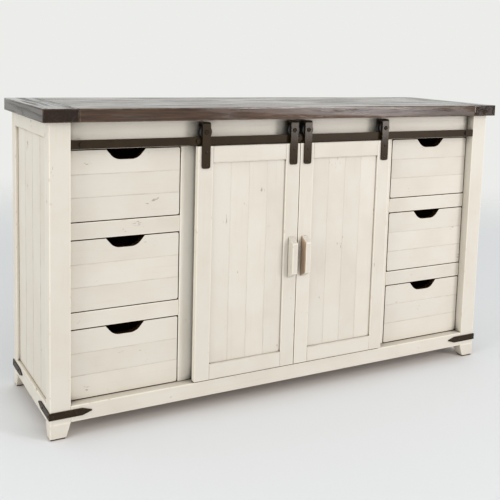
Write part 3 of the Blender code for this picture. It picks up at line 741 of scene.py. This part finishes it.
def hand_hole(middle, top):
    """The cut edge from left to right, as (x, z): slopes rounded into a flat floor."""
    corner = PULL_WIDTH / 2 - PULL_DEPTH / tan(PULL_SLOPE)
    centre = (corner - PULL_CORNER * tan(PULL_SLOPE / 2), top - PULL_DEPTH + PULL_CORNER)
    bend = arc(centre, PULL_CORNER, -pi / 2, -pi / 2 + PULL_SLOPE, PULL_STEPS)
    right = [*bend, (PULL_WIDTH / 2, top)]
    return [(middle - x, z) for x, z in reversed(right)] + [(middle + x, z) for x, z in right]


def plank_front(outline, low, high, seams):
    """An outline of (x, z) points as a board between the front and the back of a drawer front."""
    rings = [[(x, y, z) for x, z in outline] for y in (low.y, high.y)]
    return dressed(skinned(rings), "X", SEAM_ROUND, seams)


def drawer_front(low, high):
    """Three planks with rounded outer corners, the upper one with the hand hole."""
    third = (high.z - low.z) / 3
    cuts = [low.z + third, low.z + 2 * third]
    seams = [(2, cut, PLANK_LINE) for cut in cuts]
    left, right = low.x + CORNER, high.x - CORNER
    middle = (low.x + high.x) / 2
    lower = arc((left, low.z + CORNER), CORNER, 1.5 * pi, pi, 3) + [(low.x, cuts[0]), (high.x, cuts[0])]
    lower += arc((right, low.z + CORNER), CORNER, 0, -pi / 2, 3)
    upper = [(low.x, cuts[1])] + arc((left, high.z - CORNER), CORNER, pi, pi / 2, 3)
    upper += hand_hole(middle, high.z) + arc((right, high.z - CORNER), CORNER, pi / 2, 0, 3)
    upper += [(high.x, cuts[1])]
    between = board((low.x, low.y, cuts[0]), (high.x, high.y, cuts[1]), "X", SEAM_ROUND, seams)
    top_plank = plank_front(upper, low, high, seams)
    for face in top_plank.polygons:
        place = face.center
        in_hole = abs(place.x - middle) < PULL_WIDTH / 2 and place.z > high.z - PULL_DEPTH - MM
        if in_hole and abs(face.normal.y) < 0.5 and place.z < high.z - 0.1 * MM:
            face.material_index = 1
    return [plank_front(lower, low, high, seams), between, top_plank]


def drawer_box(low, high):
    """Two sides, a back between them and a bottom that rides above the sides' lower edges."""
    back = high.y - WALL
    floor = low.z + BOTTOM_RISE
    return [
        board(low, (low.x + WALL, high.y, high.z), "Y", 0.8 * MM),
        board((high.x - WALL, low.y, low.z), high, "Y", 0.8 * MM),
        board((low.x + WALL, back, floor), (high.x - WALL, high.y, high.z), "X", 0.8 * MM),
        board((low.x + WALL, low.y, floor), (high.x - WALL, back, floor + BOTTOM), "X", 0.4 * MM),
    ]


for side in ("left", "right"):
    for row in ("top", "middle", "bottom"):
        name = side + "_" + row
        body = name + "_drawer"
        front_node = "drawer_front_" + name
        front = piece(front_node + "_planks", drawer_front(*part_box(front_node)), paint, body, front_node)
        # The hole's cut faces take the near-black end-board stain as painted shade.
        front.data.materials.append(stained_ends)
        box_node = "drawer_box_" + name
        piece(box_node + "_boards", drawer_box(*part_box(box_node)), oiled, body, box_node)
print("six drawers")

# %% [markdown]
# ## Doors
# Each door is a frame of two stiles with two rails between them, and four upright planks
# set back behind its face. The frame's boards are separate, so that their joints show as
# fine lines. The handle is an upright block whose ends slope back to the door. The side of
# it that faces the other door is a tan wood colour.

# %% Doors and handles
HANDLE_FACE = 92 * MM     # height of the handle's front
DOOR_PLANKS = 4
DOOR_LINE = 0.3           # how much glaze the panel's joint with its frame holds
CLEAN = 0.1               # a seam value that keeps the glaze off a whole block


def mark_side_edge(mesh, x):
    """Marks the whole side of a board at x as edge: it takes the edges' painted highlight and wear."""
    for point, value in zip(mesh.vertices, mesh.attributes["edge"].data):
        if abs(point.co.x - x) < 0.3 * MM:
            value.value = 1.0
    return mesh


def door_frame(low, high, hole_low, hole_high, outer):
    seams = [(0, hole_low.x, FRAME_LINE / 2), (0, hole_high.x, FRAME_LINE / 2)]
    made = []
    for x_low, x_high in ((low.x, hole_low.x), (hole_high.x, high.x)):
        stile = board((x_low, low.y, low.z), (x_high, high.y, high.z), "Z", ROUND)
        # The door's outer side is all edge, so it is painted paler as a highlight.
        made.append(mark_side_edge(stile, outer))
    for z_low, z_high in ((low.z, hole_low.z), (hole_high.z, high.z)):
        rail_low, rail_high = (hole_low.x, low.y, z_low), (hole_high.x, high.y, z_high)
        made.append(board(rail_low, rail_high, "X", SEAM_ROUND, seams))
    return made


for side in ("left", "right"):
    body = side + "_door"
    frame_node = "door_frame_" + side
    panel_node = "door_panel_" + side
    handle_node = "door_handle_" + side
    hole_low, hole_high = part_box(panel_node)
    low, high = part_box(frame_node)
    outer = low.x if side == "left" else high.x
    boards = door_frame(low, high, hole_low, hole_high, outer)
    piece(frame_node + "_boards", boards, door_paint, body, frame_node)
    boards = planks(hole_low, hole_high, 0, DOOR_PLANKS, "Z", FAINT_LINE, (0,), DOOR_LINE)
    piece(panel_node + "_planks", boards, door_paint, body, panel_node)
    low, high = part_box(handle_node)
    slope = ((high.z - low.z) - HANDLE_FACE) / 2
    outline = [(high.y, low.z), (low.y, low.z + slope), (low.y, high.z - slope), (high.y, high.z)]
    rings = [[(x, y, z) for y, z in outline] for x in (low.x, high.x)]
    block = dressed(skinned(rings), "Z", 1.5 * MM, [(1, high.y, CLEAN)])
    for value in block.attributes["seam"].data:
        value.value = CLEAN
    inward = 1 if side == "left" else -1
    # The side that faces the other door takes the tan wood colour.
    for face in block.polygons:
        face.material_index = 1 if face.normal.x * inward > 0.9 else 0
    handle = piece(handle_node + "_block", [block], door_paint, body, handle_node)
    handle.data.materials.append(tan_handle_wood)
print("two doors")

# %% [markdown]
# ## Steel parts
# The track, the brackets and the guide keep the frame's own shapes, and only take the
# powder coat. The wheels are moulded nylon.

# %% Coat the steel
for name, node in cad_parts.items():
    if name.startswith(("track_bar", "corner_bracket", "door_guide")):
        finish = coat
    elif name.startswith("wheel"):
        finish = nylon
    else:
        continue
    node.data.materials.clear()
    node.data.materials.append(finish)
print("steel and nylon finished")

# %% [markdown]
# ## Screws and nuts
# The straps are screwed to the doors, the brackets to the case, and each axle ends in a
# domed head. A screw head is a low dome with a round socket in it, turned from a short
# profile.

# %% Screw heads
DOME_STEPS = 5
TURN_STEPS = 20


def circle(steps):
    return [2 * pi * step / steps for step in range(steps)]


def screw_head(radius, height, recess):
    """A domed head that faces -Y with a round socket, its flat back at the origin."""
    profile = [(radius, 0.0)]
    for step in range(DOME_STEPS + 1):
        turn = (pi / 2) * step / DOME_STEPS
        if radius * cos(turn) <= recess:
            break
        profile.append((radius * cos(turn), -0.25 * height - 0.75 * height * sin(turn)))
    deep = -0.35 * height
    rings = [[(r * cos(a), y, r * sin(a)) for a in circle(TURN_STEPS)] for r, y in profile]
    rim = profile[-1][1]
    rings.append([(recess * cos(a), rim, recess * sin(a)) for a in circle(TURN_STEPS)])
    rings.append([(recess * cos(a), deep, recess * sin(a)) for a in circle(TURN_STEPS)])
    shape = skinned(rings)
    bmesh.ops.recalc_face_normals(shape, faces=shape.faces[:])
    return as_mesh(shape)


def placed(mesh, place, facing):
    """Moves a head to its place and turns it from -Y to the direction it faces."""
    turn = Vector((0, -1, 0)).rotation_difference(Vector(facing)).to_matrix().to_4x4()
    mesh.transform(Matrix.Translation(place) @ turn)
    return mesh


print("a head is turned in", TURN_STEPS, "steps")

# %% [markdown]
# ## Strap hangers
# A hanger is a flat bar bent twice over its wheel, with an axle bolt across it. The bar is
# skinned along a path whose two corners are arcs, and it narrows at both ends to give them
# their round corners.

# %% Strap hangers
BAR = 4 * MM
BEND = 7 * MM                        # outer radius
END_CORNER = 6 * MM
AXLE_HEAD = (6.5 * MM, 3.5 * MM)     # radius and height
AXLE_RADIUS = 4 * MM
BACK_TAIL = 10 * MM                  # below the axle
AXLE_SOCKET = 3 * MM                 # radius of the socket in the axle's head
BEND_STEPS = 6                       # in a quarter turn
CORNER_STEPS = 5
CORNER_TURNS = [(pi / 2) * step / CORNER_STEPS for step in range(CORNER_STEPS + 1)]


def bar_path(front, back, foot, top, tail):
    """Middle line of the bar from its foot over the wheel to its tail: (y, z, y out, z out)."""
    bend = BEND - BAR / 2
    middle = (front + BAR / 2, back - BAR / 2, top - BAR / 2)
    corner = [END_CORNER * (1 - cos(turn)) for turn in CORNER_TURNS]
    path = [(middle[0], foot + away, -1.0, 0.0) for away in corner]
    for centre_y, begin in ((middle[0] + bend, pi), (middle[1] - bend, pi / 2)):
        for step in range(BEND_STEPS + 1):
            turn = begin - (pi / 2) * step / BEND_STEPS
            out = (cos(turn), sin(turn))
            path.append((centre_y + bend * out[0], middle[2] - bend + bend * out[1], *out))
    path += [(middle[1], tail + away, 1.0, 0.0) for away in reversed(corner)]
    return path


def bar_mesh(x_low, x_high, path):
    """A flat bar along the path, cut narrower at both ends for their round corners."""
    narrow = [END_CORNER * (1 - sin(turn)) for turn in CORNER_TURNS]
    narrow += [0.0] * (len(path) - 2 * len(narrow)) + narrow[::-1]
    rings = []
    for (y, z, out_y, out_z), cut in zip(path, narrow):
        far, near = BAR / 2, -BAR / 2
        ring = [(x_low + cut, far), (x_high - cut, far), (x_high - cut, near), (x_low + cut, near)]
        rings.append([(x, y + out_y * off, z + out_z * off) for x, off in ring])
    shape = skinned(rings)
    bmesh.ops.recalc_face_normals(shape, faces=shape.faces[:])
    rim = [edge for edge in shape.edges if edge.calc_face_angle(0.0) > 0.9]
    bmesh.ops.bevel(shape, geom=rim, offset=0.5 * MM, segments=2, profile=0.5, affect="EDGES",
                    clamp_overlap=True)
    return as_mesh(shape)


def axle_mesh(x, z, front, back):
    """The bolt between the bar's two legs."""
    rings = [[(x + AXLE_RADIUS * cos(a), y, z + AXLE_RADIUS * sin(a)) for a in circle(24)]
             for y in (front + BAR, back - BAR / 2)]
    shape = skinned(rings)
    bmesh.ops.recalc_face_normals(shape, faces=shape.faces[:])
    return as_mesh(shape)


for side in ("left", "right"):
    for place in ("inner", "outer"):
        node = "hanger_" + side + "_" + place
        low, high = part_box(node)
        axle_z = spread(*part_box("wheel_" + side + "_" + place), 2, 0.5)
        middle = spread(low, high, 0, 0.5)
        front = low.y + AXLE_HEAD[1]
        path = bar_path(front, high.y, low.z, high.z, axle_z - BACK_TAIL)
        parts = [
            bar_mesh(low.x, high.x, path),
            axle_mesh(middle, axle_z, front, high.y),
            placed(screw_head(*AXLE_HEAD, AXLE_SOCKET), (middle, front, axle_z), (0, -1, 0)),
        ]
        strap = piece("strap_" + side + "_" + place, parts, coat, side + "_door", node)
        # The bar's faces are rolled flat, so only its bends may be shaded smooth.
        strap.data.set_sharp_from_angle(angle=radians(20))
print("a strap's path has", len(path), "points")

# %% Screws in the straps
STRAP_SCREWS = (9 * MM, 46 * MM)     # above the strap's lower end
SCREW_RADIUS = 3.6 * MM
SCREW_HEIGHT = 1.6 * MM
SCREW_SOCKET = 1.4 * MM


def screw(place, facing):
    return placed(screw_head(SCREW_RADIUS, SCREW_HEIGHT, SCREW_SOCKET), place, facing)


for side in ("left", "right"):
    for place in ("inner", "outer"):
        node = "hanger_" + side + "_" + place
        low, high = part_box(node)
        middle = spread(low, high, 0, 0.5)
        face = low.y + AXLE_HEAD[1]
        heads = [screw((middle, face, low.z + up), (0, -1, 0)) for up in STRAP_SCREWS]
        piece("strap_screws_" + side + "_" + place, heads, coat_screws, side + "_door")
print("strap screws at", [up / MM for up in STRAP_SCREWS], "mm")

# %% Screws in the brackets
BRACKET_SCREWS = (9 * MM, 71 * MM)   # from the corner
for place, face_y in (("front", -1), ("back", 1)):
    for side, face_x in (("left", -1), ("right", 1)):
        node = "corner_bracket_" + place + "_" + side
        low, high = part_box(node)
        x = low.x if face_x < 0 else high.x
        y = low.y if face_y < 0 else high.y
        z = spread(low, high, 2, 0.5)
        heads = []
        for away in BRACKET_SCREWS:
            heads.append(screw((x - face_x * away, y, z), (0, face_y, 0)))
            heads.append(screw((x, y - face_y * away, z), (face_x, 0, 0)))
        piece("bracket_screws_" + place + "_" + side, heads, coat_screws, "cabinet")
print("bracket screws at", [away / MM for away in BRACKET_SCREWS], "mm")
